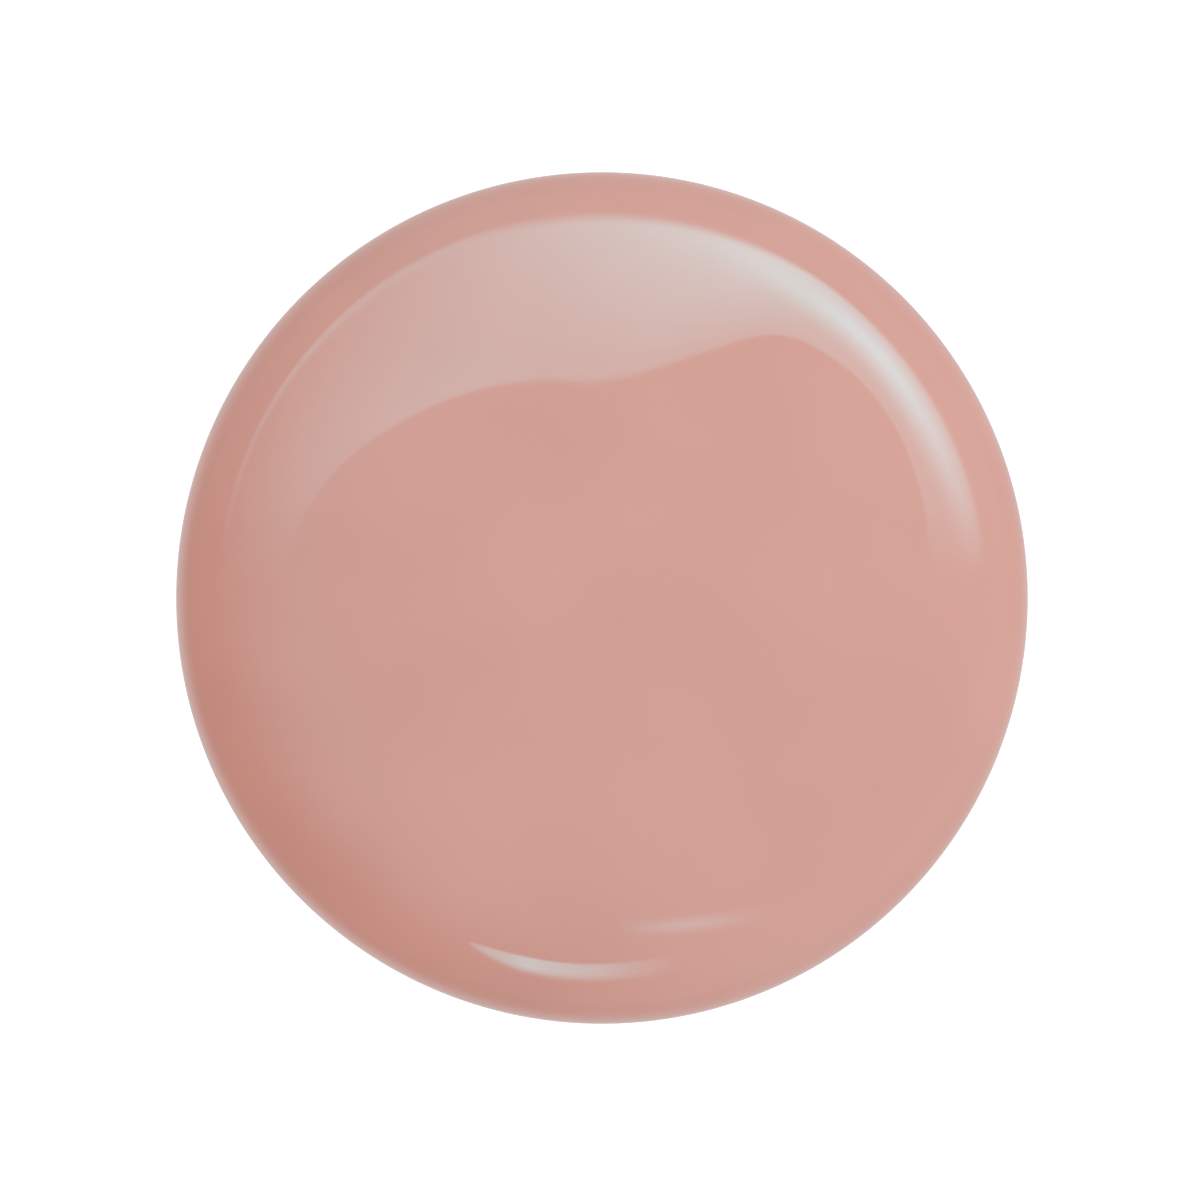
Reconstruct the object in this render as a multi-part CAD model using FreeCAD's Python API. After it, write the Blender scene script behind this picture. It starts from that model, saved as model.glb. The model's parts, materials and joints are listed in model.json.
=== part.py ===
"""Nail polish bottle with a domed, pull-off overcap in the colour of its polish.

Millimetres, +Z up. The origin is the centre of the ring that the bottle stands on.
A glass bottle with a 13 mm tall screw finish holds the polish and two mixing balls. A slim screw cap
carries the brush, and a wide domed overcap pulls straight off that screw cap. Each function below
makes one loose piece, and main() writes each piece to its own STEP file.
"""
import FreeCAD, Part
import math
import os

AXIS = FreeCAD.Vector(0, 0, 1)
CENTRE = FreeCAD.Vector(0, 0, 0)

# Glass bottle
body_radius = 14.25
body_wall = 2.2
base_thickness = 4.2
base_corner = 3.0
floor_corner = 2.6
shoulder_corner = 5.0
shoulder_height = 26.5      # where the flat of the shoulder meets the neck
roof_corner = 3.4
bearing_inner_radius = 8.7  # the bottle stands on the ring outside this
recess_radius = 8.0
recess_depth = 0.7

# Screw finish of the neck, size 13 with a tall thread
neck_radius = 5.7
bore_radius = 3.8
lip_height = 38.0
lip_corner = 0.5
thread_pitch = 2.12
thread_turns = 1.4
thread_depth = 0.75
neck_thread_start = 30.0    # height of the ridge's middle at its lower end
neck_ridge_widths = (1.3, 0.6)   # at the root and at the crest
cap_ridge_widths = (1.0, 0.44)
thread_gap = 0.15           # radial play between each crest and the other root
ridge_root_bite = 0.2       # how far a ridge runs into the wall that it stands on

# Polish and mixing balls
polish_height = 20.8
polish_gap = 0.03
polish_meniscus = 0.6
brush_well_radius = 2.1     # the polish parts round the brush
ball_diameter = 4.0
ball_track_radius = 7.6
ball_gap = 0.05
label_radius = 7.4
label_thickness = 0.12

# Seals at the neck: a plug in the bore, and a washer under the brush's flange
plug_flange_radius = 5.3
plug_flange_thickness = 0.6
plug_radius = 3.76
plug_length = 3.2
plug_taper = 0.35
washer_radius = 5.6
washer_thickness = 0.8

# Brush
rod_radius = 1.6
rod_gap = 0.05
rod_end_height = 18.0
rod_flange_radius = 6.3
rod_flange_thickness = 1.4
rod_shank_radius = 2.5       # above the flange, up to the screw cap's ceiling
socket_radius = 1.15
socket_depth = 3.6
tuft_gap = 0.02
tuft_belly_radius = 1.58    # just under the plug's hole, which the brush is drawn up through
tuft_belly_height = 11.5
tuft_shoulder_radius = 1.44 # half way from the belly up to the rod
tuft_waist_radius = 1.34    # half way from the tip up to the belly
tuft_tip_height = 6.3
tuft_tip_radius = 0.9
staple_radius = 0.18
staple_half_length = 1.35
staple_below_fold = 0.7

# Screw cap
screw_cap_foot = 27.2
screw_cap_radius = 8.0
screw_cap_top = 51.0
screw_cap_edge = 0.6
screw_cap_ceiling = 49.4
screw_cap_core_radius = 5.6  # the hollow round the shank; its foot is a step that stops the flange
cap_step_gap = 0.1
bead_radius = 5.95
bead_low, bead_high = 38.5, 39.25
groove_count = 36
groove_radius = 0.4
groove_foot = 28.6          # the grooves run out at the top, so the splines slide off

# Overcap
overcap_radius = 15.0
overcap_wall = 1.3
overcap_foot = 27.4
dome_split_height = 57.0    # parting line between sleeve and dome
dome_base_height = 58.2     # where the dome starts to close in
dome_rise = 5.8
dome_knuckle_radius = 2.7
dome_arc_joins = (45, 72)   # slope angles where the dome's three arcs meet
dome_spigot_depth = 2.0
dome_spigot_wall = 0.8
fit_gap = 0.03
parting_chamfer = 0.12
foot_corner = 0.35

# Liner inside the overcap
liner_bore_gap = 0.2
liner_tube_wall = 1.5
liner_foot = 28.6
liner_plate_low, liner_plate_high = 53.4, 55.0
liner_web_count = 6
liner_web_thickness = 1.0
liner_web_foot = 31.0
liner_boss_radius = 2.9
liner_boss_height = 3.2
spline_radius = 0.28
spline_gap = 0.05

# Weight in the overcap
weight_radius = 11.6
weight_thickness = 3.8
weight_corner = 0.4


def point(radius, height):
    return FreeCAD.Vector(radius, 0, height)


def on_circle(centre, radius, degrees):
    """The point (radius, height) at an angle on a corner's circle in the turning profile."""
    turn = math.radians(degrees)
    return (centre[0] + radius * math.cos(turn), centre[1] + radius * math.sin(turn))


def profile_edges(start, steps):
    """Edges of a turning profile. A step is the next point, or (point on the arc, next point)."""
    edges = []
    here = start
    for step in steps:
        curved = isinstance(step[0], tuple)
        there = step[1] if curved else step
        if curved:
            edges.append(Part.Arc(point(*here), point(*step[0]), point(*there)).toShape())
        else:
            edges.append(Part.LineSegment(point(*here), point(*there)).toShape())
        here = there
    return edges


def spin(edges):
    """The solid made by turning a closed outline of edges once round the axis."""
    wire = Part.Wire(Part.__sortEdges__(edges))
    return Part.Face(wire).revolve(CENTRE, AXIS, 360)


def turned(start, *steps):
    """A solid of revolution from an outline that closes on its first point."""
    return spin(profile_edges(start, list(steps) + [start]))


def drum(radius, low, high):
    return Part.makeCylinder(radius, high - low, FreeCAD.Vector(0, 0, low))


def ring(outer, inner, low, high):
    return drum(outer, low, high).cut(drum(inner, low - 1, high + 1))


def around(shape, count):
    """Copies of a shape, evenly spaced round the axis."""
    copies = []
    for index in range(count):
        copy = shape.copy()
        copy.rotate(CENTRE, AXIS, 360 * index / count)
        copies.append(copy)
    return copies


def thread_ridge(root_radius, crest_radius, widths, start_height):
    """A right-hand helical ridge whose middle starts at start_height on the +X side."""
    helix = Part.makeHelix(thread_pitch, thread_pitch * thread_turns, root_radius)
    bite = ridge_root_bite if crest_radius > root_radius else -ridge_root_bite
    root, crest = widths[0] / 2, widths[1] / 2
    corners = [
        point(root_radius - bite, -root),
        point(root_radius, -root),
        point(crest_radius, -crest),
        point(crest_radius, crest),
        point(root_radius, root),
        point(root_radius - bite, root),
    ]
    outline = Part.makePolygon(corners + corners[:1])
    ridge = Part.Wire(helix).makePipeShell([outline], True, True)
    ridge.translate(FreeCAD.Vector(0, 0, start_height))
    return ridge


def glass_outside():
    base = (body_radius - base_corner, base_corner)
    shoulder = (body_radius - shoulder_corner, shoulder_height - shoulder_corner - 0.5)
    lip = (neck_radius - lip_corner, lip_height - lip_corner)
    solid = turned(
        (0, 0),
        (body_radius - base_corner, 0),
        (on_circle(base, base_corner, -45), (body_radius, base_corner)),
        (body_radius, shoulder[1]),
        (on_circle(shoulder, shoulder_corner, 45), (shoulder[0], shoulder_height - 0.5)),
        (neck_radius, shoulder_height),
        (neck_radius, lip[1]),
        (on_circle(lip, lip_corner, 45), (lip[0], lip_height)),
        (0, lip_height),
    )
    return solid.cut(base_recess())


def base_recess():
    return turned((0, -1), (bearing_inner_radius, -1), (bearing_inner_radius, 0),
                  (recess_radius, recess_depth), (0, recess_depth))


def inside_radius():
    return body_radius - body_wall


def cavity_profile(gap, top):
    """Start and steps of the wetted inside of the bottle, taken in by gap and filled to top."""
    radius = inside_radius() - gap
    corner = floor_corner - gap
    floor = base_thickness + gap
    centre = (radius - corner, floor + corner)
    return (0, floor), [
        (centre[0], floor),
        (on_circle(centre, corner, -45), (radius, centre[1])),
        (radius, top),
    ]


def glass_cavity():
    roof = (inside_radius() - roof_corner, shoulder_height - body_wall - roof_corner)
    throat = (bore_radius + 1.0, roof[1] + roof_corner + 1.6)
    start, steps = cavity_profile(0, roof[1])
    steps += [
        (on_circle(roof, roof_corner, 45), (roof[0], roof[1] + roof_corner)),
        (throat[0], throat[1] - 1.0),
        (on_circle(throat, 1.0, 225), (bore_radius, throat[1])),
        (bore_radius, lip_height - 0.4),
        (bore_radius + 0.4, lip_height),
        (bore_radius + 0.4, lip_height + 1),
        (0, lip_height + 1),
    ]
    return turned(start, *steps)


def glass_bottle():
    ridge = thread_ridge(neck_radius, neck_radius + thread_depth, neck_ridge_widths,
                         neck_thread_start)
    return glass_outside().fuse(ridge).cut(glass_cavity())


def base_label():
    return drum(label_radius, recess_depth - label_thickness, recess_depth)


def ball_height():
    return base_thickness + ball_gap + ball_diameter / 2


def ball_track():
    """The ring of polish that the balls push through as they roll round the floor."""
    return Part.makeTorus(ball_track_radius, ball_diameter / 2 + ball_gap,
                          FreeCAD.Vector(0, 0, ball_height()))


def polish_fill():
    start, steps = cavity_profile(polish_gap, polish_height)
    wall = steps[-1][0]
    steps += [
        (wall - polish_meniscus, polish_height - polish_meniscus),
        (0, polish_height - polish_meniscus),
    ]
    well = drum(brush_well_radius, tuft_tip_height - 0.5, polish_height + 1)
    return turned(start, *steps).cut(well).cut(ball_track())


def agitator_ball(side):
    return Part.makeSphere(ball_diameter / 2,
                           FreeCAD.Vector(side * ball_track_radius, 0, ball_height()))


def neck_plug():
    """A soft flanged plug: its flange lies on the lip and its sleeve wipes the rod."""
    low = lip_height - plug_length
    top = lip_height + plug_flange_thickness
    hole = rod_radius + rod_gap
    return turned(
        (hole, low),
        (plug_radius - plug_taper, low),
        (plug_radius, low + 1.2),
        (plug_radius, lip_height),
        (plug_flange_radius, lip_height),
        (plug_flange_radius, top),
        (hole, top),
    )


def seal_washer():
    low = lip_height + plug_flange_thickness
    return ring(washer_radius, rod_radius + rod_gap, low, rod_flange_height())


def rod_flange_height():
    return lip_height + plug_flange_thickness + washer_thickness


def fold_height():
    return rod_end_height + socket_depth


def staple():
    """The bit of wire that holds the folded filaments in the rod's socket."""
    height = fold_height() - staple_below_fold
    return Part.makeCylinder(staple_radius, 2 * staple_half_length,
                             FreeCAD.Vector(-staple_half_length, 0, height),
                             FreeCAD.Vector(1, 0, 0))


def brush_rod():
    low = rod_flange_height()
    high = low + rod_flange_thickness
    rod = turned(
        (0, rod_end_height),
        (rod_radius - 0.3, rod_end_height),
        (rod_radius, rod_end_height + 0.8),
        (rod_radius, low),
        (rod_flange_radius - 0.2, low),
        (rod_flange_radius, low + 0.2),
        (rod_flange_radius, high - 0.2),
        (rod_flange_radius - 0.2, high),
        (rod_shank_radius, high),
        (rod_shank_radius, screw_cap_ceiling - 0.4),
        (rod_shank_radius - 0.3, screw_cap_ceiling - fit_gap),
        (0, screw_cap_ceiling - fit_gap),
    )
    return rod.cut(drum(socket_radius, rod_end_height - 1, fold_height())).cut(staple())


def brush_tuft():
    root = socket_radius - tuft_gap
    lower_middle = (tuft_tip_height + tuft_belly_height) / 2
    upper_middle = (tuft_belly_height + rod_end_height) / 2 + 0.6
    tuft = turned(
        (0, tuft_tip_height),
        ((tuft_tip_radius * 0.7, tuft_tip_height + 0.3), (tuft_tip_radius, tuft_tip_height + 1.1)),
        ((tuft_waist_radius, lower_middle), (tuft_belly_radius, tuft_belly_height)),
        ((tuft_shoulder_radius, upper_middle), (root, rod_end_height - 0.3)),
        (root, fold_height() - tuft_gap),
        (0, fold_height() - tuft_gap),
    )
    return tuft.cut(staple())


def cap_bore_radius():
    return neck_radius + thread_depth + thread_gap


def screw_cap():
    foot, top, core = screw_cap_foot, screw_cap_top, screw_cap_core_radius
    step = rod_flange_height() + rod_flange_thickness + cap_step_gap
    bore = cap_bore_radius()
    shell = turned(
        (bore + 0.3, foot),
        (screw_cap_radius - screw_cap_edge, foot),
        (screw_cap_radius, foot + screw_cap_edge),
        (screw_cap_radius, top - screw_cap_edge),
        (screw_cap_radius - screw_cap_edge, top),
        (0, top),
        (0, screw_cap_ceiling),
        (core, screw_cap_ceiling),
        (core, step),
        (bore, step),
        (bore, bead_high + 0.1),
        (bead_radius, bead_high - 0.15),
        (bead_radius, bead_low + 0.15),
        (bore, bead_low - 0.2),
        (bore, foot + 0.3),
    )
    ridge = thread_ridge(bore, bore - thread_depth, cap_ridge_widths,
                         neck_thread_start - thread_pitch / 2)
    groove = Part.makeCylinder(groove_radius, top - groove_foot + 1,
                               FreeCAD.Vector(screw_cap_radius, 0, groove_foot))
    return shell.fuse(ridge).cut(around(groove, groove_count))


def overcap_sleeve():
    inner = overcap_radius - overcap_wall
    rebate = inner + dome_spigot_wall
    corner = (overcap_radius - foot_corner, overcap_foot + foot_corner)
    top = dome_split_height
    return turned(
        (inner, overcap_foot),
        (corner[0], overcap_foot),
        (on_circle(corner, foot_corner, -45), (overcap_radius, corner[1])),
        (overcap_radius, top - parting_chamfer),
        (overcap_radius - parting_chamfer, top),
        (rebate, top),
        (rebate, top - dome_spigot_depth),
        (inner, top - dome_spigot_depth),
    )


def dome_centres():
    """Centres and radii of the three tangent arcs that close the dome, from the side to the top.

    The knuckle's radius is set, and the other two follow from the dome's half width and its rise.
    """
    first, second = (math.radians(angle) for angle in dome_arc_joins)
    across = (math.cos(first) - math.cos(second), math.cos(second))
    up = (math.sin(second) - math.sin(first), 1 - math.sin(second))
    width = overcap_radius - dome_knuckle_radius * (1 - math.cos(first))
    rise = dome_rise - dome_knuckle_radius * math.sin(first)
    scale = across[0] * up[1] - across[1] * up[0]
    haunch = (width * up[1] - across[1] * rise) / scale
    crown = (across[0] * rise - width * up[0]) / scale
    knuckle_centre = (overcap_radius - dome_knuckle_radius, dome_base_height)
    haunch_centre = on_circle(knuckle_centre, dome_knuckle_radius - haunch, dome_arc_joins[0])
    crown_centre = (0, dome_base_height + dome_rise - crown)
    return [
        (knuckle_centre, dome_knuckle_radius),
        (haunch_centre, haunch),
        (crown_centre, crown),
    ]


def dome_curve(inset):
    """Profile edges of the dome's surface, or of one parallel to it and inset below it."""
    angles = (0, *dome_arc_joins, 90)
    edges = []
    for index, (centre, radius) in enumerate(dome_centres()):
        low, high = angles[index], angles[index + 1]
        stops = [on_circle(centre, radius - inset, turn) for turn in (low, (low + high) / 2, high)]
        if high == 90:
            stops[2] = (0, stops[2][1])
        edges.append(Part.Arc(*[point(*stop) for stop in stops]).toShape())
    return edges


def overcap_dome():
    """The coloured dome, a shell with a spigot that drops into the sleeve."""
    inner = overcap_radius - overcap_wall
    spigot = inner + dome_spigot_wall - fit_gap
    split = dome_split_height
    low = split - dome_spigot_depth + fit_gap
    top = dome_base_height + dome_rise
    side = profile_edges((inner, dome_base_height), [
        (inner, low),
        (spigot, low),
        (spigot, split),
        (overcap_radius - parting_chamfer, split),
        (overcap_radius, split + parting_chamfer),
        (overcap_radius, dome_base_height),
    ])
    axis = profile_edges((0, top), [(0, top - overcap_wall)])
    return spin(side + dome_curve(0) + dome_curve(overcap_wall) + axis)


def overcap_liner():
    """The grey inner part that grips the screw cap: a tube, a plate, a boss and webs."""
    bore = screw_cap_radius + liner_bore_gap
    tube = bore + liner_tube_wall
    rim = overcap_radius - overcap_wall - fit_gap
    liner = ring(tube, bore, liner_foot, liner_plate_low)
    liner = liner.fuse(drum(rim, liner_plate_low, liner_plate_high))
    liner = liner.fuse(drum(liner_boss_radius, liner_plate_high,
                            liner_plate_high + liner_boss_height))
    web = Part.makeBox(rim - tube + 0.6, liner_web_thickness, liner_plate_low - liner_web_foot + 0.5,
                       FreeCAD.Vector(tube - 0.5, -liner_web_thickness / 2, liner_web_foot))
    web = web.common(drum(rim, liner_web_foot, liner_plate_high))
    spline = Part.makeCylinder(spline_radius, liner_plate_low - liner_foot - 1.4,
                               FreeCAD.Vector(screw_cap_radius + spline_gap, 0, liner_foot + 1.0))
    for part in around(web, liner_web_count) + around(spline, liner_web_count):
        liner = liner.fuse(part)
    return liner.removeSplitter()


def cap_weight():
    low = liner_plate_high
    high = low + weight_thickness
    hole = liner_boss_radius + 0.1
    return turned(
        (hole, low),
        (weight_radius - weight_corner, low),
        (weight_radius, low + weight_corner),
        (weight_radius, high - weight_corner),
        (weight_radius - weight_corner, high),
        (hole + weight_corner, high),
        (hole, high - weight_corner),
    )


def pieces():
    return {
        "glass_bottle": glass_bottle(),
        "polish_fill": polish_fill(),
        "base_label": base_label(),
        "mixing_ball_1": agitator_ball(1),
        "mixing_ball_2": agitator_ball(-1),
        "neck_plug": neck_plug(),
        "seal_washer": seal_washer(),
        "brush_rod": brush_rod(),
        "brush_staple": staple(),
        "brush_tuft": brush_tuft(),
        "screw_cap": screw_cap(),
        "overcap_liner": overcap_liner(),
        "overcap_weight": cap_weight(),
        "overcap_sleeve": overcap_sleeve(),
        "overcap_dome": overcap_dome(),
    }


def main():
    os.makedirs("parts", exist_ok=True)
    for name, shape in pieces().items():
        shape.exportStep(os.path.join("parts", name + ".step"))
        print(f"{name}: {len(shape.Solids)} solid, valid {shape.isValid()}, {shape.Volume:.2f} mm3")


main()
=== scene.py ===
import json
import math
import bpy
import numpy as np
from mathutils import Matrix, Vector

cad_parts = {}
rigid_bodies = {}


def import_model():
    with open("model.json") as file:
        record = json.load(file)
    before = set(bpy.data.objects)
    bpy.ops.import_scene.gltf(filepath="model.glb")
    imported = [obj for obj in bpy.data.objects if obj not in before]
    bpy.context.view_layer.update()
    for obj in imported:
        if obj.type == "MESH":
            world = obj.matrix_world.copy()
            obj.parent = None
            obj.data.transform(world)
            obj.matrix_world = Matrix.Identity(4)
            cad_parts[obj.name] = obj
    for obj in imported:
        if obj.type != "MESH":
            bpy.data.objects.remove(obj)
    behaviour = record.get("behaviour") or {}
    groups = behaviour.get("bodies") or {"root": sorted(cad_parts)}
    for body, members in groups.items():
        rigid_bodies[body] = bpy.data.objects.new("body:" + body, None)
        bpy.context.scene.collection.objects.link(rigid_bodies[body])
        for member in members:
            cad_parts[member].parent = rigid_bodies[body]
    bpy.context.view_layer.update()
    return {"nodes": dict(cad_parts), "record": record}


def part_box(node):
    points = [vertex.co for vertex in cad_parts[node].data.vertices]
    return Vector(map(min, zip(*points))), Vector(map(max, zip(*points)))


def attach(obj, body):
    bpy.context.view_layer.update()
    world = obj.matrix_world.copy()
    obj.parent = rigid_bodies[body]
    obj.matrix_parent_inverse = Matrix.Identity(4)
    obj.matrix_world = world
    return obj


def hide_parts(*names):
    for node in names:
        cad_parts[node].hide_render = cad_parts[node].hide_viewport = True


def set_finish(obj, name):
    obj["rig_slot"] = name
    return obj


# Nail polish bottle with a domed overcap, seen from straight above.
# Sizes in the dictionaries are in mm, meshes are built in metres.
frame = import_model()
nodes = frame["nodes"]
mm = 0.001
bpy.context.scene.view_settings.view_transform = "Standard"
print("frame loaded:", len(nodes), "nodes")


def span(name):
    # lowest and highest corner of a CAD node, in mm
    low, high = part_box(name)
    return np.array(low) / mm, np.array(high) / mm


def smoothStep(x):
    x = np.clip(x, 0, 1)
    return x * x * (3 - 2 * x)


# ---- profiles ----

# Each corner is (radius, height, fillet). A fillet is an arc tangent to the two runs that meet
# there, and the runs between are cut into equal steps. Gives points and unit tangents.
def roundedProfile(corners, spacing=1.5, arcSteps=8):
    spots = np.array([corner[:2] for corner in corners], float)
    runs = np.diff(spots, axis=0)
    along = runs / np.hypot(*runs.T)[:, None]
    points, tangents = [spots[:1]], [along[:1]]
    for i in range(1, len(corners)):
        arc, arcTangents = spots[i:i + 1], along[i - 1:i]
        if i < len(corners) - 1:
            a, b = along[i - 1], along[i]
            turn = math.atan2(a[0] * b[1] - a[1] * b[0], a @ b)
            side = np.array([-a[1], a[0]]) * math.copysign(1, turn)
            swing = np.linspace(0, abs(turn), arcSteps + 1)[:, None]
            start = spots[i] - a * corners[i][2] * math.tan(abs(turn) / 2)
            arc = start + corners[i][2] * (np.sin(swing) * a + (1 - np.cos(swing)) * side)
            arcTangents = np.cos(swing) * a + np.sin(swing) * side
        gap = arc[0] - points[-1][-1]
        cuts = np.linspace(0, 1, max(1, math.ceil(np.hypot(*gap) / spacing)) + 1)[1:-1, None]
        points += [points[-1][-1] + gap * cuts, arc]
        tangents += [np.repeat(along[i - 1:i], len(cuts), 0), arcTangents]
    return np.vstack(points), np.vstack(tangents)


# A quarter ellipse, (half width cos t, base + rise sin t), from the side up to the axis, or back down.
def quarterEllipse(halfWidth, base, rise, steps=90, down=False):
    t = np.linspace(0, math.pi / 2, steps)
    points = np.stack([halfWidth * np.cos(t), base + rise * np.sin(t)], 1)
    tangents = np.stack([-halfWidth * np.sin(t), rise * np.cos(t)], 1)
    tangents /= np.hypot(*tangents.T)[:, None]
    return (points[::-1], -tangents[::-1]) if down else (points, tangents)


def joined(*profiles):
    return tuple(np.vstack(part) for part in zip(*profiles))


# ---- surfaces ----

# Faces and normals of a grid of points, rows up the outside and columns around the axis. The columns
# join up. The rows join up too in a ring. Otherwise the first and last row are poles, each kept as one
# point with a fan of triangles. Where no normals are given they are the cross product of the steps
# around and along.
def wrapped(grid, ring, normals=None):
    if normals is None:
        around, along = (np.roll(grid, -1, axis) - np.roll(grid, 1, axis) for axis in (1, 0))
        normals = np.cross(around, along)
        if not ring:
            normals[0], normals[-1] = (0, 0, -1), (0, 0, 1)
    points, normals = grid.reshape(-1, 3), normals.reshape(-1, 3)
    number = np.arange(len(points)).reshape(grid.shape[:2])
    if ring:
        low, high = number, np.roll(number, -1, 0)
        fans = []
    else:
        # from the last copy of the first pole to the first copy of the last one
        start, end = number[0, -1], number[-1, 0]
        points, normals = points[start:end + 1], normals[start:end + 1]
        number = number[1:-1] - start
        low, high = number[:-1], number[1:]
        first, last = number[0], number[-1]
        fans = np.vstack([np.stack([0 * first, np.roll(first, -1), first], -1),
                          np.stack([last, np.roll(last, -1), 0 * last + end - start], -1)]).tolist()
    quads = np.stack([low, np.roll(low, -1, 1), np.roll(high, -1, 1), high], -1)
    return points, normals, quads.reshape(-1, 4).tolist() + fans


# A turned surface: point (i, j) is (r_i cos a_j, r_i sin a_j, z_i). The profile goes up the outside
# and down the inside, so the normals (t_z cos a, t_z sin a, -t_r) point out. A profile that ends
# where it starts makes a ring, and one that ends on the axis closes to a pole.
# ripple(r, z, a) is added to the radius.
def turned(profile, around=256, ripple=None):
    points, tangents = profile
    ring = np.hypot(*(points[0] - points[-1])) < 1e-6
    if ring:
        points, tangents = points[:-1], tangents[:-1]
    a = np.arange(around) * 2 * math.pi / around + 0 * points[:, :1]
    r, z = points[:, :1] + 0 * a, points[:, 1:] + 0 * a
    if ripple:
        r = r + ripple(r, z, a)
    grid = np.stack([r * np.cos(a), r * np.sin(a), z], -1)
    out, up = tangents[:, 1:] + 0 * a, -tangents[:, :1] + 0 * a
    normals = np.stack([out * np.cos(a), out * np.sin(a), up], -1)
    return wrapped(grid, ring, None if ripple else normals)


# Round hairs: point (k, i, j) is the hair's middle line plus its radius times (cos, sin) of j's angle.
# lines is (hair, step, 3) and radii (hair, step). Each hair's ends are closed by one face each.
def hairs(lines, radii, sides=6):
    a = np.arange(sides) * 2 * math.pi / sides
    ring = np.stack([np.cos(a), np.sin(a), 0 * a], -1)
    points = lines[:, :, None] + radii[:, :, None, None] * ring
    normals = np.broadcast_to(ring, points.shape)
    number = np.arange(points.size // 3).reshape(points.shape[:3])
    low, high = number[:, :-1], number[:, 1:]
    quads = np.stack([low, np.roll(low, -1, 2), np.roll(high, -1, 2), high], -1)
    faces = quads.reshape(-1, 4).tolist() + number[:, 0, ::-1].tolist() + number[:, -1].tolist()
    return points.reshape(-1, 3), normals.reshape(-1, 3), faces


def makePiece(name, surface, material, body, slotName, *standsFor):
    points, normals, faces = surface
    mesh = bpy.data.meshes.new(name)
    mesh.from_pydata(points * mm, [], faces)
    mesh.polygons.foreach_set("use_smooth", np.ones(len(faces), bool))
    mesh.normals_split_custom_set_from_vertices(normals / np.linalg.norm(normals, axis=1, keepdims=True))
    mesh.materials.append(material)
    piece = bpy.data.objects.new(name, mesh)
    bpy.context.collection.objects.link(piece)
    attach(piece, body)
    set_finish(piece, slotName)
    if standsFor:
        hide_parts(*standsFor)
    print("piece:", name, len(faces), "faces")


# ---- materials ----

# Sizes of patterns are in mm, and every pattern is laid out on the piece's own object coordinates.
class Finish:
    def __init__(self, name, sockets):
        self.material = bpy.data.materials.new(name)
        self.material.use_nodes = True
        self.tree = self.material.node_tree
        self.shader = self.tree.nodes["Principled BSDF"]
        for socket, value in sockets.items():
            self.shader.inputs[socket].default_value = value
        self.coords = self.add("ShaderNodeTexCoord").outputs["Object"]
        self.height = None

    def add(self, kind, **settings):
        node = self.tree.nodes.new(kind)
        for setting, value in settings.items():
            setattr(node, setting, value)
        return node

    def cloud(self, size, detail=3.0, stretch=(1, 1, 1)):
        # soft noise whose lumps are about size across, longer where stretch is under 1
        mapping = self.add("ShaderNodeMapping")
        mapping.inputs["Scale"].default_value = stretch
        self.tree.links.new(self.coords, mapping.inputs["Vector"])
        noise = self.add("ShaderNodeTexNoise")
        noise.inputs["Scale"].default_value = 1 / (size * mm)
        noise.inputs["Detail"].default_value = detail
        self.tree.links.new(mapping.outputs["Vector"], noise.inputs["Vector"])
        return noise.outputs["Fac"]

    def specks(self, size, share):
        # round specks that cover about that share of the cells, 1 inside and 0 outside
        cells = self.add("ShaderNodeTexVoronoi")
        cells.inputs["Scale"].default_value = 1 / (size * mm)
        self.tree.links.new(self.coords, cells.inputs["Vector"])
        return self.ranged(cells.outputs["Distance"], share * 0.5, share, 1, 0)

    def ranged(self, value, fromLow, fromHigh, low, high):
        node = self.add("ShaderNodeMapRange", interpolation_type="SMOOTHSTEP")
        for socket, number in zip(("From Min", "From Max", "To Min", "To Max"),
                                  (fromLow, fromHigh, low, high)):
            node.inputs[socket].default_value = number
        self.tree.links.new(value, node.inputs["Value"])
        return node.outputs["Result"]

    def tones(self, factor, first, second):
        mix = self.add("ShaderNodeMix", data_type="RGBA")
        self.tree.links.new(factor, mix.inputs["Factor"])
        for socket, tone in zip((6, 7), (first, second)):
            if isinstance(tone, tuple):
                mix.inputs[socket].default_value = (*tone, 1)
            else:
                self.tree.links.new(tone, mix.inputs[socket])
        return mix.outputs[2]

    def feed(self, socket, value):
        self.tree.links.new(value, self.shader.inputs[socket])
        return self

    def relief(self, value, height):
        # adds bumps of that height in mm on top of those already there
        bump = self.add("ShaderNodeBump")
        bump.inputs["Distance"].default_value = height * mm
        self.tree.links.new(value, bump.inputs["Height"])
        if self.height:
            self.tree.links.new(self.height, bump.inputs["Normal"])
        self.height = bump.outputs["Normal"]
        self.tree.links.new(self.height, self.shader.inputs["Normal"])
        return self


roseShade = {"deep": (0.601, 0.265, 0.210), "light": (0.626, 0.279, 0.223)}


def roseLacquer():
    # sprayed gloss: hardly any colour drift, a faint orange peel and a cool sheen on top
    finish = Finish("roseLacquer", {"IOR": 1.5, "Specular IOR Level": 1.0,
                                    "Specular Tint": (0.02, 0.85, 0.96, 1)})
    drift = finish.ranged(finish.cloud(9, 2), 0.35, 0.65, 0, 1)
    finish.feed("Base Color", finish.tones(drift, roseShade["deep"], roseShade["light"]))
    finish.feed("Roughness", finish.ranged(finish.cloud(3.5), 0.3, 0.7, 0.035, 0.055))
    return finish.relief(finish.cloud(1.1, 1), 0.00012).material


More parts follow.
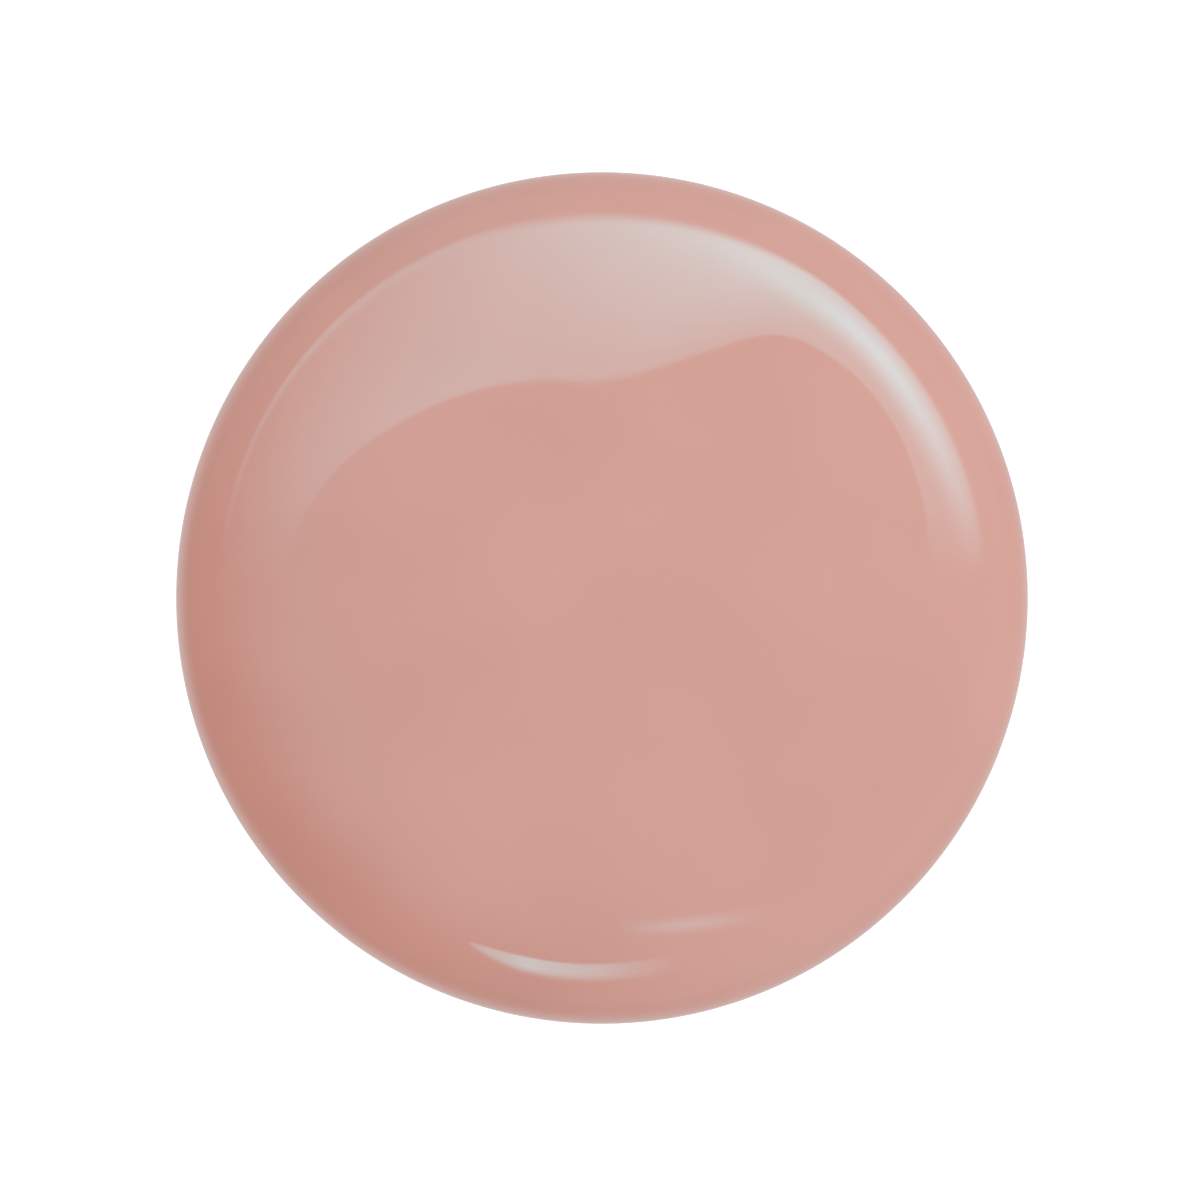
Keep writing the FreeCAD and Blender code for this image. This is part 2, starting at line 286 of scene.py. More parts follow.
def rosePolish(name, gloss, shades):
    finish = Finish(name, {"IOR": 1.48, "Specular IOR Level": gloss, "Specular Tint": (0.4, 0.9, 1.0, 1)})
    swirl = finish.ranged(finish.cloud(2.6, 4, (1, 1, 0.35)), 0.35, 0.65, 0, 1)
    finish.feed("Base Color", finish.tones(swirl, *shades))
    finish.feed("Roughness", finish.ranged(finish.cloud(1.4), 0.3, 0.7, 0.06, 0.12))
    return finish.relief(finish.cloud(2.0, 1), 0.004).material


def clearGlass():
    # pressed glass: clean, with the slow waviness that a mould leaves
    finish = Finish("clearGlass", {"IOR": 1.51, "Transmission Weight": 1.0,
                                   "Base Color": (0.975, 0.99, 0.985, 1)})
    finish.feed("Roughness", finish.ranged(finish.cloud(6), 0.4, 0.7, 0.0, 0.012))
    return finish.relief(finish.cloud(7, 1), 0.006).material


def mouldedPlastic(name, dark, light, gloss, grain, height):
    # spark-eroded mould texture, with duller patches where it has been handled
    finish = Finish(name, {"IOR": 1.47})
    patch = finish.ranged(finish.cloud(4), 0.3, 0.7, 0, 1)
    dust = finish.specks(1.3, 0.04)
    finish.feed("Base Color", finish.tones(dust, finish.tones(patch, dark, light),
                                           tuple(0.8 * tone + 0.04 for tone in light)))
    finish.feed("Roughness", finish.ranged(finish.cloud(5), 0.3, 0.7, *gloss))
    return finish.relief(finish.cloud(grain, 2), height).material


def softPolythene(name, dark, light, pores):
    finish = Finish(name, {"IOR": 1.51, "Subsurface Weight": 0.35, "Subsurface Scale": 0.0008})
    finish.feed("Base Color", finish.tones(finish.ranged(finish.cloud(1.5), 0.3, 0.7, 0, 1), dark, light))
    finish.feed("Roughness", finish.ranged(finish.cloud(0.9), 0.3, 0.7, 0.32, 0.5))
    return finish.relief(finish.specks(pores, 0.4), -0.01).material


def steel(name, dark, light, gloss, stretch):
    # tumbled metal: fine marks along the way it was drawn or turned, under brighter worn patches
    finish = Finish(name, {"Metallic": 1.0})
    finish.feed("Base Color", finish.tones(finish.ranged(finish.cloud(2.5), 0.35, 0.65, 0, 1), dark, light))
    finish.feed("Roughness", finish.ranged(finish.cloud(0.25, 2, stretch), 0.3, 0.7, *gloss))
    return finish.relief(finish.cloud(0.12, 2, stretch), 0.0015).material


def labelPaper():
    finish = Finish("labelPaper", {"IOR": 1.45, "Specular IOR Level": 0.3})
    fibre = finish.ranged(finish.cloud(0.5, 5, (1, 0.25, 1)), 0.3, 0.7, 0, 1)
    finish.feed("Base Color", finish.tones(fibre, (0.80, 0.79, 0.755), (0.87, 0.865, 0.84)))
    finish.feed("Roughness", finish.ranged(finish.cloud(0.3), 0.3, 0.7, 0.5, 0.68))
    return finish.relief(fibre, 0.006).material


def nylonFilament():
    finish = Finish("nylonFilament", {"IOR": 1.53, "Specular IOR Level": 0.7})
    streak = finish.ranged(finish.cloud(0.6, 3, (1, 1, 0.1)), 0.3, 0.7, 0, 1)
    finish.feed("Base Color", finish.tones(streak, (0.012, 0.010, 0.009), (0.050, 0.040, 0.034)))
    return finish.feed("Roughness", finish.ranged(finish.cloud(0.8), 0.3, 0.7, 0.22, 0.36)).material


looks = {
    "rose_lacquer": roseLacquer(),
    "rose_polish": rosePolish("rosePolish", 0.8, (roseShade["deep"], roseShade["light"])),
    "clear_glass": clearGlass(),
    "black_plastic": mouldedPlastic("blackPlastic", (0.008, 0.008, 0.009), (0.013, 0.013, 0.014),
                                    (0.27, 0.33), 0.14, 0.0025),
    "grey_plastic": mouldedPlastic("greyPlastic", (0.27, 0.27, 0.28), (0.33, 0.33, 0.335),
                                   (0.38, 0.55), 0.22, 0.006),
    "natural_polythene": softPolythene("naturalPolythene", (0.74, 0.76, 0.76), (0.83, 0.84, 0.83), 0.5),
    "foam_washer": softPolythene("foamWasher", (0.78, 0.78, 0.75), (0.88, 0.88, 0.86), 0.22),
    "ball_steel": steel("ballSteel", (0.58, 0.58, 0.60), (0.68, 0.68, 0.69), (0.08, 0.16), (1, 1, 1)),
    "staple_wire": steel("stapleWire", (0.54, 0.54, 0.56), (0.64, 0.64, 0.65), (0.2, 0.35), (0.1, 1, 1)),
    "weight_steel": steel("weightSteel", (0.46, 0.46, 0.48), (0.58, 0.58, 0.59), (0.25, 0.42), (1, 1, 0.2)),
    "label_paper": labelPaper(),
    "nylon_filament": nylonFilament(),
}
# behind the glass it has no surface of its own, and the glass takes some of its light, so this copy of the
# polish is painted lighter than the polish's own colour: painted light that makes up for what the glass takes
polishPaintedLighterBehindGlass = rosePolish("polishPaintedLighterBehindGlass", 0.05, ((0.66, 0.28, 0.22), (0.69, 0.305, 0.24)))
print("materials:", len(looks) + 1)

slotOf = {part["node"]: part["material_slot"] for part in frame["record"]["subparts"]}
for nodeName, node in nodes.items():
    for place in node.material_slots:
        place.material = looks[slotOf[nodeName]]


# ---- overcap ----

overcap = {
    "wall": 1.3,
    "spigotWall": 0.77,        # the dome's spigot, a hair inside the sleeve's rebate
    "spigotDepth": 1.97,
    "rebateWall": 0.8,
    "rebateDepth": 2.0,
    "ledgeRadius": 0.1,        # inner edges of the spigot and of the rebate
    "domeBase": 58.2,          # where the straight side ends and the dome starts
    "footRadius": 0.35,
    "partingRadius": 0.12,     # the fine groove between sleeve and dome
}
sleeveLow, sleeveHigh = span("overcap_sleeve")
domeTop = span("overcap_dome")[1][2]
overcap["radius"] = sleeveHigh[0]
overcap["foot"] = sleeveLow[2]
overcap["split"] = sleeveHigh[2]
overcap["rise"] = domeTop - overcap["domeBase"]


def makeDome():
    c = overcap
    inner = c["radius"] - c["wall"]
    spigot = inner + c["spigotWall"]
    side = roundedProfile([
        (inner, c["domeBase"], 0), (inner, c["split"] - c["spigotDepth"], c["ledgeRadius"]),
        (spigot, c["split"] - c["spigotDepth"], c["ledgeRadius"]), (spigot, c["split"], 0.05),
        (c["radius"], c["split"], c["partingRadius"]), (c["radius"], c["domeBase"], 0),
    ], 0.6)
    inside = quarterEllipse(inner, c["domeBase"], c["rise"] - c["wall"], 40, down=True)
    outside = quarterEllipse(c["radius"], c["domeBase"], c["rise"], 120)
    profile = joined(inside, tuple(part[1:] for part in side), tuple(part[1:] for part in outside))
    makePiece("lacqueredDome", turned(profile, 360), looks["rose_lacquer"], "overcap",
              "rose_lacquer", "overcap_dome")


def makeSleeve():
    c = overcap
    inner = c["radius"] - c["wall"]
    rebate = inner + c["rebateWall"]
    ledge = c["split"] - c["rebateDepth"]
    middle = (c["foot"] + ledge) / 2
    profile = roundedProfile([
        (inner, middle, 0), (inner, c["foot"], c["footRadius"]),
        (c["radius"], c["foot"], c["footRadius"]), (c["radius"], c["split"], c["partingRadius"]),
        (rebate, c["split"], c["ledgeRadius"]), (rebate, ledge, c["ledgeRadius"]),
        (inner, ledge, c["ledgeRadius"]), (inner, middle, 0),
    ])
    makePiece("lacqueredSleeve", turned(profile, 360), looks["rose_lacquer"], "overcap",
              "rose_lacquer", "overcap_sleeve")


makeDome()
makeSleeve()


# ---- bottle ----

bottle = {
    "wall": 2.2,
    "base": 4.2,
    "recess": (8.0, 8.7, 0.7),    # inner and outer radius and depth of the push-up
    "baseCorner": 3.0,
    "shoulder": 26.0,
    "shoulderCorner": 4.95,
    "neck": 5.7,
    "threadedFrom": 28.5,         # the finely cut stretch of the neck that carries the thread
    "threadedTo": 34.5,
    "lipCorners": (0.5, 0.4),     # outside and inside
    "bore": 3.8,
    "floorCorner": 2.6,
    "roof": 24.3,
    "roofCorner": 3.4,
    "labelGap": 0.03,             # air over the label, which is only stuck down at its rim
    "polishBite": 0.05,           # how far the polish runs into the glass
    "meniscus": 0.6,              # how far the polish climbs the wall at its edge
    "seam": 0.025,                # the two mould seams stand this proud of the glass
    "seamWidth": 0.12,
}
thread = {
    "pitch": 2.12,
    "turns": 1.4,
    "depth": 0.75,
    "start": 30.0,                # height of the ridge's middle at its lower end
    "widths": (1.3, 0.6),         # at the root and at the crest
    "fade": 0.07,                 # share of a turn over which the ends run out
}


# A helical ridge: at angle a and turn k its middle is at start + pitch (a / 360 degrees + k), and
# its height falls from the crest's width to the root's as the distance from the middle grows.
def helicalRidge(z, a, start, widths):
    ridge = 0 * z
    for k in range(math.ceil(thread["turns"])):
        turn = a / (2 * math.pi) + k
        off = np.abs(z - start - thread["pitch"] * turn)
        slope = smoothStep((widths[0] / 2 - off) / ((widths[0] - widths[1]) / 2))
        ends = smoothStep(turn / thread["fade"]) * smoothStep((thread["turns"] - turn) / thread["fade"])
        ridge = np.maximum(ridge, thread["depth"] * slope * ends)
    return ridge


def bottleRipple(r, z, a):
    onNeck = (r > bottle["neck"] - 0.01) & (r < bottle["neck"] + 0.01)
    ridge = helicalRidge(z, a, thread["start"], thread["widths"]) * onNeck
    # two mould seams, opposite each other, up the straight side and the neck
    across = r * np.abs(np.sin(a))
    onSide = smoothStep((r - bottle["neck"] + 0.5) / 0.5) * smoothStep((z - 3.5) / 2)
    return ridge + bottle["seam"] * onSide * np.exp(-(across / bottle["seamWidth"]) ** 2)


def makeGlass():
    c = bottle
    radius = span("glass_bottle")[1][0]
    lip = span("glass_bottle")[1][2]
    inner = radius - c["wall"]
    near, far, deep = c["recess"]
    recess = deep + c["labelGap"]
    lower = roundedProfile([
        (0, recess, 0), (near, recess, 0.25), (far, 0, 0.3), (radius, 0, c["baseCorner"]),
        (radius, c["shoulder"], c["shoulderCorner"]), (c["neck"] + 2.5, c["shoulder"] + 0.1, 1.5),
        (c["neck"], c["shoulder"] + 0.5, 0.6), (c["neck"], c["threadedFrom"], 0),
    ], 1.0, 14)
    threaded = roundedProfile([(c["neck"], c["threadedFrom"], 0), (c["neck"], c["threadedTo"], 0)], 0.1)
    upper = roundedProfile([
        (c["neck"], c["threadedTo"], 0), (c["neck"], lip, c["lipCorners"][0]),
        (c["bore"], lip, c["lipCorners"][1]),
        (c["bore"], c["roof"] + 0.6, 1.0), (c["bore"] + 4.85, c["roof"], 2.0),
        (inner, c["roof"], c["roofCorner"]), (inner, c["base"], c["floorCorner"]), (0, c["base"], 0),
    ], 0.8, 14)
    profile = joined(lower, tuple(part[1:] for part in threaded), tuple(part[1:] for part in upper))
    makePiece("glassBottle", turned(profile, 320, bottleRipple), looks["clear_glass"], "bottle",
              "clear_glass", "glass_bottle")


def makePolish():
    # The polish runs a hair into the glass, so that no film of air shows between them. It climbs the
    # wall at its edge. Its top is closed: the brush passes through it.
    c = bottle
    radius = span("glass_bottle")[1][0] - c["wall"] + c["polishBite"]
    floor = c["base"] - c["polishBite"]
    level = span("polish_fill")[1][2]
    middle = level - c["meniscus"]
    profile = roundedProfile([
        (0, floor, 0), (radius, floor, c["floorCorner"]), (radius, level, 0.04),
        (radius - 0.3, level - 0.5, 0.25), (radius - 1.6, middle, 0.8), (0, middle, 0),
    ], 0.8, 12)
    # the polish in the bottle wears the copy of its finish painted lighter, standing in for the light the
    # glass takes
    makePiece("polish", turned(profile, 256), polishPaintedLighterBehindGlass, "bottle", "rose_polish", "polish_fill")


film = {
    "foot": 0.4,                  # below the polish's level
    "reach": 1.9,                 # how far up the wall the polish has clung, on average
    "thickness": 0.035,
}


def makeFilm():
    # What clings to the glass over the level. At distance s along the wall a point is on the straight
    # side, or past it at angle (s - straight) / corner on the roof's corner. The upper edge runs at
    # reach * (1 + waves round the bottle), and the film thins out to it as sqrt(1 - u).
    c = bottle
    wall = span("glass_bottle")[1][0] - c["wall"]
    start = span("polish_fill")[1][2] - film["foot"]
    straight = c["roof"] - c["roofCorner"] - start
    a = np.arange(360)[None, :] * 2 * math.pi / 360
    u = np.linspace(0, 1, 24)[:, None]
    waves = 0.34 * np.sin(2 * a + 0.7) + 0.22 * np.sin(5 * a + 2.1) + 0.12 * np.sin(9 * a) \
        + 0.06 * np.sin(23 * a + 1)
    s = u * film["reach"] * (1 + waves)
    bend = np.clip(s - straight, 0, None) / c["roofCorner"]
    sides = []
    for offset in (0.03 + 0 * u, -film["thickness"] * np.sqrt(1 - u)):
        r = wall - c["roofCorner"] + (c["roofCorner"] + offset) * np.cos(bend)
        z = start + np.minimum(s, straight) + (c["roofCorner"] + offset) * np.sin(bend)
        sides.append(np.stack([r * np.cos(a), r * np.sin(a), z], -1))
    grid = np.concatenate([sides[0], sides[1][::-1]])
    # the film also wears the polish painted lighter, standing in for the light the glass takes
    makePiece("polishFilm", wrapped(grid, True), polishPaintedLighterBehindGlass, "bottle", "rose_polish")


makeGlass()
makePolish()
makeFilm()


# ---- brush ----

brush = {
    "filaments": 260,
    "thickness": 0.045,        # radius of one filament
    "rootRadius": 1.05,
    "rootHeight": 18.5,        # where the filaments come out of the rod
    "bellyRadius": 1.46,
    "bellyHeight": 11.5,
    "tipRadius": 1.0,
    "tipHeight": 6.4,
    "tipDome": 1.3,            # how much higher the outermost tips are cut
    "coatTop": 14.5,           # how far up the filaments are wet with polish
}


def makeTuft():
    # Filament k stands at sqrt((k + 0.5) / n) of the bundle's radius, turned by the golden angle each
    # time. The bundle's radius swells from the socket to the belly and draws in to the cut tip.
    c = brush
    top = span("brush_tuft")[1][2]
    k = np.arange(c["filaments"])
    share = np.sqrt((k + 0.5) / c["filaments"])[:, None]
    swing = (k * math.radians(137.508))[:, None]
    s = np.linspace(0, 1, 14)[None, :]
    jitter = np.random.default_rng(7).normal(0, 1, (2, c["filaments"], 1))
    end = c["tipHeight"] + c["tipDome"] * share ** 2 + 0.12 * np.abs(jitter[0])
    z = top + (end - top) * s
    rise = np.clip((z - c["tipHeight"]) / (c["bellyHeight"] - c["tipHeight"]), 0, 1)
    fall = smoothStep((z - c["bellyHeight"]) / (c["rootHeight"] - c["bellyHeight"]))
    bundle = c["tipRadius"] + (c["bellyRadius"] - c["tipRadius"]) * np.sin(rise * math.pi / 2)
    bundle = bundle + (c["rootRadius"] - bundle) * fall
    r = bundle * share * (1 + 0.03 * jitter[1] * s)
    a = swing + 0.05 * jitter[0] * s
    lines = np.stack([r * np.cos(a), r * np.sin(a), z], -1)
    radii = c["thickness"] * (1 - 0.35 * smoothStep((s - 0.85) / 0.15)) + 0 * z
    surface = hairs(lines[:, ::-1], radii[:, ::-1])
    makePiece("brushFilaments", surface, looks["nylon_filament"], "brush", "nylon_filament", "brush_tuft")


def makeWetCoat():
    # polish that clings to the lower filaments, with shallow grooves between them
    c = brush
    profile = roundedProfile([
        (0, c["tipHeight"] - 0.05, 0), (c["tipRadius"] + 0.1, c["tipHeight"] + 0.35, 0.7),
        (c["bellyRadius"] + 0.06, c["bellyHeight"] - 1, 3.0), (c["bellyRadius"], c["coatTop"] - 1.2, 2.0),
        (1.2, c["coatTop"], 0.3), (0, c["coatTop"] + 0.1, 0),
    ], 0.25)

    def grooves(r, z, a):
        ragged = 0.06 * np.sin(23 * a + 1.3 * np.sin(3 * a)) + 0.035 * np.sin(41 * a + z)
        return ragged * smoothStep((r - 0.4) / 0.6) * (0.45 + 0.55 * smoothStep((z - 9) / 5))
    makePiece("wetPolishOnBrush", turned(profile, 180, grooves), looks["rose_polish"], "brush", "rose_polish")


makeTuft()
makeWetCoat()


# ---- stage ----

stage = {
    "floor": 6.0,              # metres across
    "floorTop": -0.02,
    "floorGlow": 0.60,
    "tentDistance": 1.0,       # metres from the dome to the bright panels
    "room": (-0.40, -0.06, 0.80, 1.0),    # height of the dark and white ends, and their brightness
    "lens": 300,
    "sensor": 36,
    "discShare": 0.71,         # of the frame's width that the overcap fills
    "aim": (-0.07, -0.07),     # mm that the camera stands off the axis
}
frameWidth = 2 * overcap["radius"] / stage["discShare"]
cameraHeight = overcap["domeBase"] + frameWidth * stage["lens"] / stage["sensor"]
cameraSpot = np.array([*stage["aim"], cameraHeight])

camera = bpy.data.objects.new("camera", bpy.data.cameras.new("camera"))
camera.data.lens = stage["lens"]
camera.data.sensor_width = stage["sensor"]
camera.data.clip_start = 0.01
camera.location = cameraSpot * mm
bpy.context.collection.objects.link(camera)
bpy.context.scene.camera = camera


def makeFloor():
    # a light table: pale, matt, and faintly lit from below, so only a soft shadow shows on it
    material = bpy.data.materials.new("paleTable")
    material.use_nodes = True
    shader = material.node_tree.nodes["Principled BSDF"]
    shader.inputs["Base Color"].default_value = (0.75, 0.75, 0.75, 1)
    shader.inputs["Roughness"].default_value = 0.9
    shader.inputs["Specular IOR Level"].default_value = 0.0
    shader.inputs["Emission Color"].default_value = (1, 1, 1, 1)
    shader.inputs["Emission Strength"].default_value = stage["floorGlow"]
    half = stage["floor"] / 2
    mesh = bpy.data.meshes.new("floor")
    top = stage["floorTop"] * mm
    mesh.from_pydata([(-half, -half, top), (half, -half, top), (half, half, top), (-half, half, top)],
                     [], [(0, 1, 2, 3)])
    mesh.materials.append(material)
    floor = bpy.data.objects.new("floor", mesh)
    floor.visible_glossy = floor.visible_diffuse = False
    bpy.context.collection.objects.link(floor)


# Where the tent must be bright for a highlight to lie at a share of the dome's radius and an angle:
# the view ray to that point is mirrored in the ellipse's normal and followed out to the tent.
def mirroredSpot(share, azimuth):
    c = overcap
    r = share * c["radius"]
    drop = np.sqrt(1 - share ** 2)
    spot = np.stack([r * np.cos(azimuth), r * np.sin(azimuth), c["domeBase"] + c["rise"] * drop], -1)
    slope = c["rise"] * share
    normal = np.stack([slope * np.cos(azimuth), slope * np.sin(azimuth), c["radius"] * drop], -1)
    normal /= np.linalg.norm(normal, axis=-1, keepdims=True)
    view = spot - cameraSpot
    view /= np.linalg.norm(view, axis=-1, keepdims=True)
    mirrored = view - 2 * (view * normal).sum(-1, keepdims=True) * normal
    return spot * mm + stage["tentDistance"] * mirrored


# A smooth curve through rows of (degrees, value, value, ...): a cubic between each pair of rows, with
# the slope at a row taken from its two neighbours. Gives one array for each column of values.
def throughStops(stops, degrees):
    x, *columns = np.array(stops, float).T
    k = np.clip(np.searchsorted(x, degrees) - 1, 0, len(x) - 2)
    width = x[k + 1] - x[k]
    t = np.clip((degrees - x[k]) / width, 0, 1)
    curves = []
    for y in columns:
        slope = np.gradient(y, x)
        bend = t * (1 - t) * width * ((1 - t) * slope[k] - t * slope[k + 1])
        curves.append(y[k] + (y[k + 1] - y[k]) * smoothStep(t) + bend)
    return curves


# Each stop is (degrees, inner edge, outer edge, glow at the inner edge, glow at the outer edge), with
# the edges as shares of the dome's radius. soft is the share of the width over which an edge fades.
panels = [
    {
        "name": "overheadPanel",
        "soft": (0.03, 0.09),
        "stops": [
            (3, 0.79, 0.90, 0.0, 0.0), (7, 0.77, 0.90, 0.06, 0.08), (15, 0.775, 0.90, 0.17, 0.20),
            (30, 0.787, 0.90, 0.25, 0.30), (45, 0.774, 0.902, 0.32, 0.42), (57, 0.726, 0.905, 0.30, 0.78),
            (66, 0.625, 0.905, 0.26, 0.90), (76, 0.545, 0.905, 0.27, 0.82), (90, 0.496, 0.905, 0.26, 0.66),
            (106, 0.519, 0.903, 0.31, 0.38), (122, 0.56, 0.902, 0.35, 0.19), (138, 0.612, 0.90, 0.30, 0.08),
            (154, 0.68, 0.90, 0.20, 0.04), (166, 0.72, 0.90, 0.09, 0.02), (178, 0.75, 0.90, 0.0, 0.0),
        ],
    },
    {
        "name": "rightStrip",
        "soft": (0.6, 0.5),
        "stops": [
            (3, 0.83, 0.91, 0.0, 0.0), (6, 0.82, 0.912, 0.07, 0.07), (12, 0.815, 0.912, 0.21, 0.21),
            (25, 0.80, 0.910, 0.60, 0.60), (36, 0.80, 0.908, 0.84, 0.84), (46, 0.80, 0.908, 0.80, 0.80),
            (58, 0.79, 0.906, 0.4, 0.4), (72, 0.80, 0.905, 0.08, 0.08), (84, 0.83, 0.90, 0.0, 0.0),
        ],
    },
    {
        "name": "rimStrip",
        "soft": (0.7, 0.25),
        "stops": [
            (96, 0.865, 0.903, 0.0, 0.0), (110, 0.865, 0.902, 0.14, 0.14), (125, 0.87, 0.901, 0.24, 0.24),
            (138, 0.873, 0.900, 0.28, 0.28), (150, 0.877, 0.899, 0.22, 0.22), (162, 0.88, 0.898, 0.12, 0.12),
            (174, 0.88, 0.897, 0.0, 0.0),
        ],
    },
    {
        "name": "lowerStrip",
        "soft": (0.12, 0.5),
        "stops": [
            (249, 0.856, 0.866, 0.25, 0.25), (252, 0.853, 0.880, 0.5, 0.5), (255, 0.852, 0.891, 0.62, 0.62),
            (258, 0.851, 0.897, 0.82, 0.82), (262, 0.851, 0.900, 0.70, 0.70), (268, 0.850, 0.900, 0.53, 0.53),
            (274, 0.847, 0.898, 0.28, 0.28), (282, 0.845, 0.895, 0.0, 0.0),
        ],
    },
    {
        "name": "lowerGlint",
        "soft": (0.5, 0.5),
        "stops": [
            (272, 0.735, 0.79, 0.0, 0.0), (278, 0.745, 0.80, 0.18, 0.18), (284, 0.755, 0.81, 0.32, 0.32),
            (289, 0.765, 0.825, 0.25, 0.25), (294, 0.785, 0.84, 0.11, 0.11), (300, 0.80, 0.86, 0.0, 0.0),
        ],
    },
]
panelStrength = 4.0


# The four-sided faces of a sheet of points in rows and columns.
def sheetFaces(rows, columns):
    number = np.arange(rows * columns).reshape(rows, columns)
    return np.stack([number[:-1, :-1], number[:-1, 1:], number[1:, 1:], number[1:, :-1]], -1).reshape(-1, 4)


# A bright surface out on the tent, laid where the dome mirrors it into its stops' shares and angles.
# It adds its light to the white room behind it, so its dim end fades out and never shades.
def makePanel(panel, rows=48):
    reach = panel["stops"][0][0], panel["stops"][-1][0]
    degrees = np.linspace(*reach, round(reach[1] - reach[0]) * 2)[None, :]
    u = np.linspace(0, 1, rows)[:, None]
    inner, outer, near, far = throughStops(panel["stops"], degrees)
    spots = mirroredSpot(inner + (outer - inner) * u, np.radians(degrees) + 0 * u)
    fade = smoothStep(u / panel["soft"][0]) * smoothStep((1 - u) / panel["soft"][1])
    strength = panelStrength * np.clip(near + (far - near) * u, 0, None) * fade
    makeEmitter(panel["name"], spots.reshape(-1, 3), sheetFaces(*strength.shape), strength.ravel())


# Only glossy surfaces see a panel. It adds its glow, and lets through 1 - shade of the room behind it.
def makeEmitter(name, spots, faces, glow, shade=None):
    mesh = bpy.data.meshes.new(name)
    mesh.from_pydata(spots, [], faces.tolist())
    mesh.attributes.new("glow", "FLOAT", "POINT").data.foreach_set("value", glow)
    if shade is not None:
        mesh.attributes.new("shade", "FLOAT", "POINT").data.foreach_set("value", shade)
    mesh.materials.append(panelMaterial)
    lamp = bpy.data.objects.new(name, mesh)
    lamp.visible_camera = lamp.visible_diffuse = lamp.visible_transmission = lamp.visible_shadow = False
    bpy.context.collection.objects.link(lamp)
    return lamp


def makePanelMaterial():
    material = bpy.data.materials.new("softPanel")
    material.use_nodes = True
    tree = material.node_tree
    tree.nodes.clear()
    glow, shade, through, light, clear, both, output = (tree.nodes.new("ShaderNode" + kind) for kind in (
        "Attribute", "Attribute", "Invert", "Emission", "BsdfTransparent", "AddShader", "OutputMaterial"))
    glow.attribute_name = "glow"
    shade.attribute_name = "shade"
    tree.links.new(shade.outputs["Fac"], through.inputs["Color"])
    tree.links.new(through.outputs[0], clear.inputs["Color"])
    tree.links.new(glow.outputs["Fac"], light.inputs["Strength"])
    tree.links.new(light.outputs[0], both.inputs[0])
    tree.links.new(clear.outputs[0], both.inputs[1])
    tree.links.new(both.outputs[0], output.inputs["Surface"])
    return material


# The room: white all round and above, and dark below the table, where only reflections look.
def makeRoom():
    world = bpy.data.worlds.new("softStudio")
    world.use_nodes = True
    tree = world.node_tree
    direction = tree.nodes.new("ShaderNodeTexCoord")
    parts = tree.nodes.new("ShaderNodeSeparateXYZ")
    fade = tree.nodes.new("ShaderNodeMapRange")
    fade.interpolation_type = "SMOOTHSTEP"
    for socket, number in zip(("From Min", "From Max", "To Min", "To Max"), stage["room"]):
        fade.inputs[socket].default_value = number
    tree.links.new(direction.outputs["Generated"], parts.inputs[0])
    tree.links.new(parts.outputs["Z"], fade.inputs["Value"])
    tree.links.new(fade.outputs[0], tree.nodes["Background"].inputs["Strength"])
    tree.nodes["Background"].inputs["Color"].default_value = (1, 1, 1, 1)
    bpy.context.scene.world = world


# One soft lamp shades the set. It lights surfaces but isn't seen in them.
keyLight = {"azimuth": 20, "zenith": 50, "distance": 1.2, "size": 0.7, "watts": 3.3}


def makeKeyLight():
    c = keyLight
    lamp = bpy.data.objects.new("keyLight", bpy.data.lights.new("keyLight", "AREA"))
    lamp.data.shape = "DISK"
    lamp.data.size = c["size"]
    lamp.data.energy = c["watts"]
    a, b = math.radians(c["azimuth"]), math.radians(c["zenith"])
    way = np.array([math.sin(b) * math.cos(a), math.sin(b) * math.sin(a), math.cos(b)])
    lamp.location = way * c["distance"]
    lamp.rotation_euler = (0, b, a)
    lamp.visible_glossy = False
    bpy.context.collection.objects.link(lamp)


# A dark curtain round the left of the set, from under the table to a little above the dome. At angle a
# and height z its shade is depth * cos(a - middle), and it fades out over its top and bottom.
curtain = {"middle": 205, "reach": 88, "distance": 1.15, "heights": (-1.1, -0.25, 0.1, 1.3), "depth": 0.8}


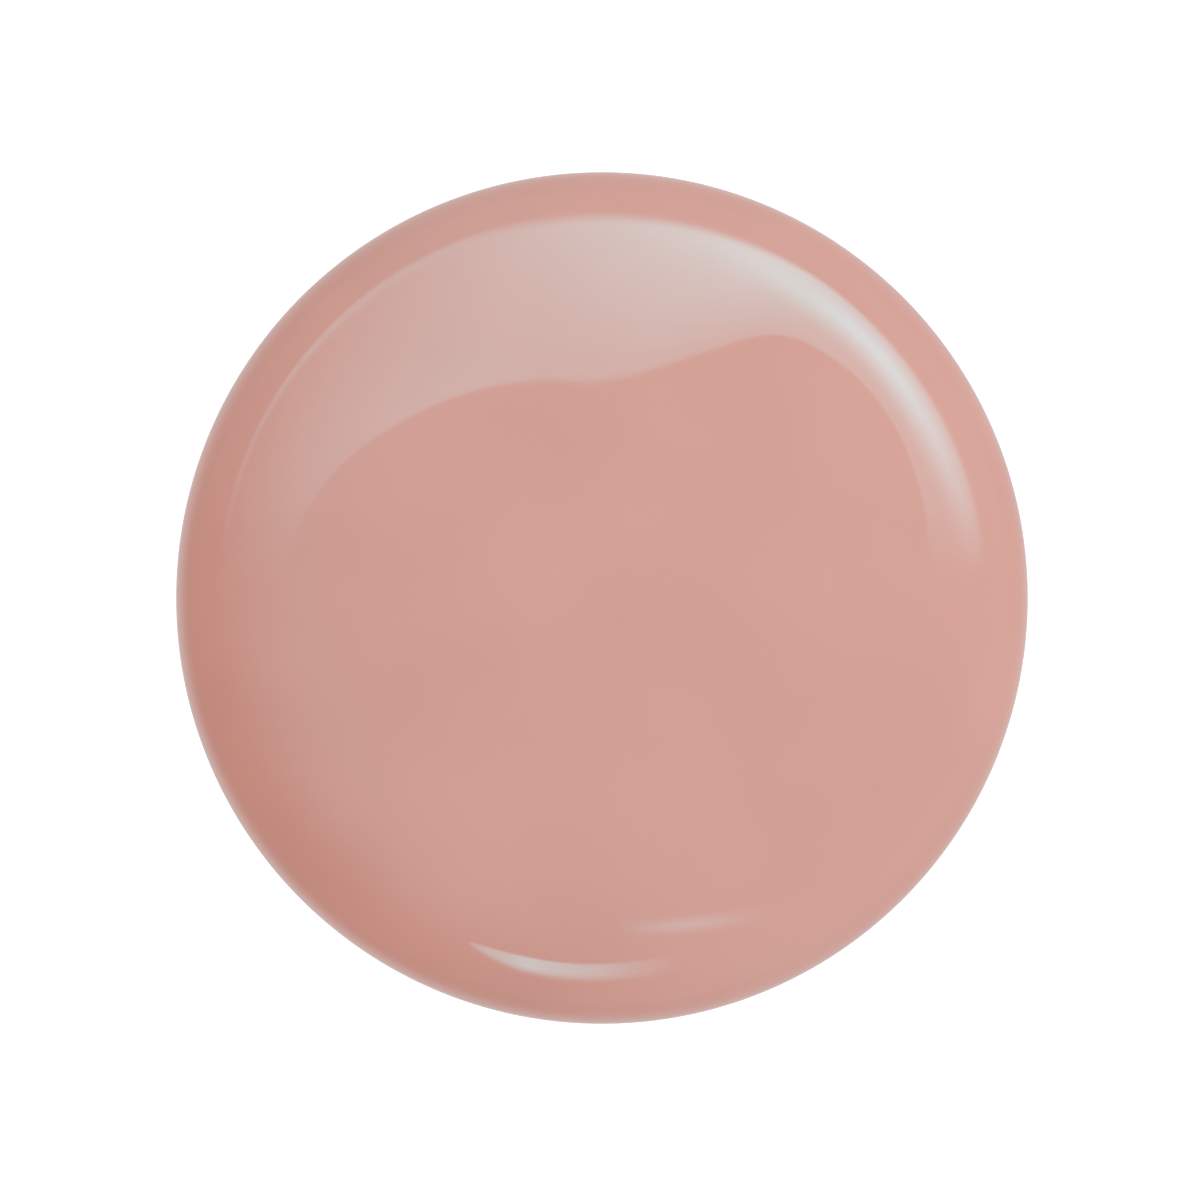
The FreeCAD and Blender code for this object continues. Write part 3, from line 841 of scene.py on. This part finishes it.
def makeCurtain(rows=40, columns=60):
    c = curtain
    low, lowFull, highFull, high = c["heights"]
    turn = np.radians(np.linspace(-c["reach"], c["reach"], columns))[None, :]
    z = np.linspace(low, high, rows)[:, None] + 0 * turn
    a = turn + math.radians(c["middle"])
    spots = np.stack([c["distance"] * np.cos(a) + 0 * z, c["distance"] * np.sin(a) + 0 * z, z], -1)
    fade = smoothStep((z - low) / (lowFull - low)) * smoothStep((high - z) / (high - highFull))
    shade = c["depth"] * fade * np.cos(turn)
    makeEmitter("curtain", spots.reshape(-1, 3), sheetFaces(rows, columns), 0 * z.ravel(), shade.ravel())


# Tall strip lights for the upright surfaces. The dome is kept out of them, as a flag would in a studio.
strips = [
    {"azimuth": 48, "glow": 2.9, "width": 0.36},
    {"azimuth": 235, "glow": 2.2, "width": 0.30},
]
stripDistance = 0.9
stripHeights = (-0.62, 0.50)


def makeStrip(strip, columns=25):
    # across the strip the glow is a smooth bump, 1 in the middle and 0 at both edges
    u = np.linspace(-1, 1, columns)
    a = math.radians(strip["azimuth"])
    side = u * strip["width"] / 2
    row = np.stack([stripDistance * math.cos(a) - side * math.sin(a),
                    stripDistance * math.sin(a) + side * math.cos(a)], 1)
    spots = np.concatenate([np.insert(row, 2, height, 1) for height in stripHeights])
    glow = np.tile(strip["glow"] * smoothStep(1.6 * (1 - np.abs(u))), 2)
    lamp = makeEmitter("strip" + str(strip["azimuth"]), spots, sheetFaces(2, columns), glow)
    lamp.light_linking.receiver_collection = uprights


makeFloor()
makeRoom()
makeKeyLight()
panelMaterial = makePanelMaterial()
makeCurtain()
for panel in panels:
    makePanel(panel)
uprights = bpy.data.collections.new("uprights")
for piece in [thing for thing in bpy.data.objects if "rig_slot" in thing or thing.name in nodes]:
    if piece.name != "lacqueredDome":
        uprights.objects.link(piece)
for strip in strips:
    makeStrip(strip)
print("lights: 1 lamp,", len(panels), "panels,", len(strips), "strips and a curtain")
print("stage: camera at", [round(float(x), 1) for x in cameraSpot], "mm")
